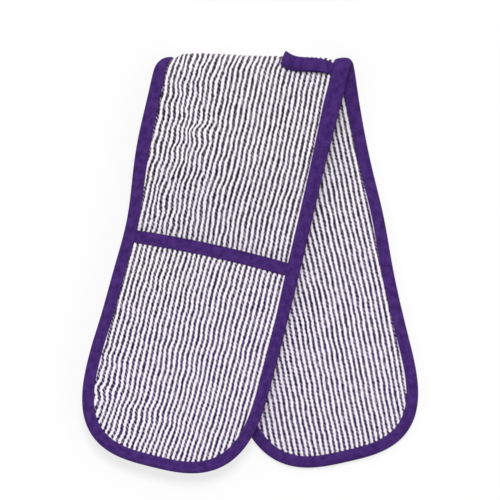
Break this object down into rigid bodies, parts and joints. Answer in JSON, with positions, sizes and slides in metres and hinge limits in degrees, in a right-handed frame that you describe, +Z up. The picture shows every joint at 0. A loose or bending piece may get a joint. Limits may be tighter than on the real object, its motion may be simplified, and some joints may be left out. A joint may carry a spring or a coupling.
{
  "type": "double oven glove",
  "caption": "Long quilted cotton strip with a hand pocket at each rounded end, bound all round, folded in half at the middle, with a hanging loop beside the fold.",
  "frame": {"origin": "middle of the glove's underside as it lies folded on a table", "axes": "+Z up off the table, +Y from the rounded ends towards the fold, +X to the side where the rear half shows"},
  "size_m": [0.3384, 0.4249, 0.0382],
  "materials": {
    "striped_cotton": "woven cotton, white with narrow dark violet stripes along the strip",
    "lining_cotton": "plain unbleached cotton",
    "wadding": "needled fibre wadding",
    "purple_cotton": "folded twill tape, dyed deep purple"
  },
  "bodies": {
    "rear_half": {"rear_panel_face": "striped_cotton", "rear_panel_wadding": "wadding", "rear_panel_back": "striped_cotton", "rear_pocket_cover": "striped_cotton", "rear_pocket_wadding": "wadding", "rear_pocket_lining": "lining_cotton", "rear_mouth_binding": "purple_cotton", "rear_edge_binding": "purple_cotton"},
    "front_half": {"front_panel_face": "striped_cotton", "front_panel_wadding": "wadding", "front_panel_back": "striped_cotton", "front_pocket_cover": "striped_cotton", "front_pocket_wadding": "wadding", "front_pocket_lining": "lining_cotton", "front_mouth_binding": "purple_cotton", "front_edge_binding": "purple_cotton"},
    "loop": {"hanging_loop": "purple_cotton"}
  },
  "joints": [
    {"name": "fold_hinge", "type": "hinge", "parent": "rear_half", "child": "front_half", "pos_m": [-0.00173, 0.20705, 0.01535], "axis": [-1, 0, 0], "range_deg": [0, 179.5]},
    {"name": "loop_hinge", "type": "hinge", "parent": "front_half", "child": "loop", "pos_m": [0.07818, 0.19686, 0.031], "axis": [0.1478, 0.9674, -0.2056], "range_deg": [0, 150]}
  ]
}
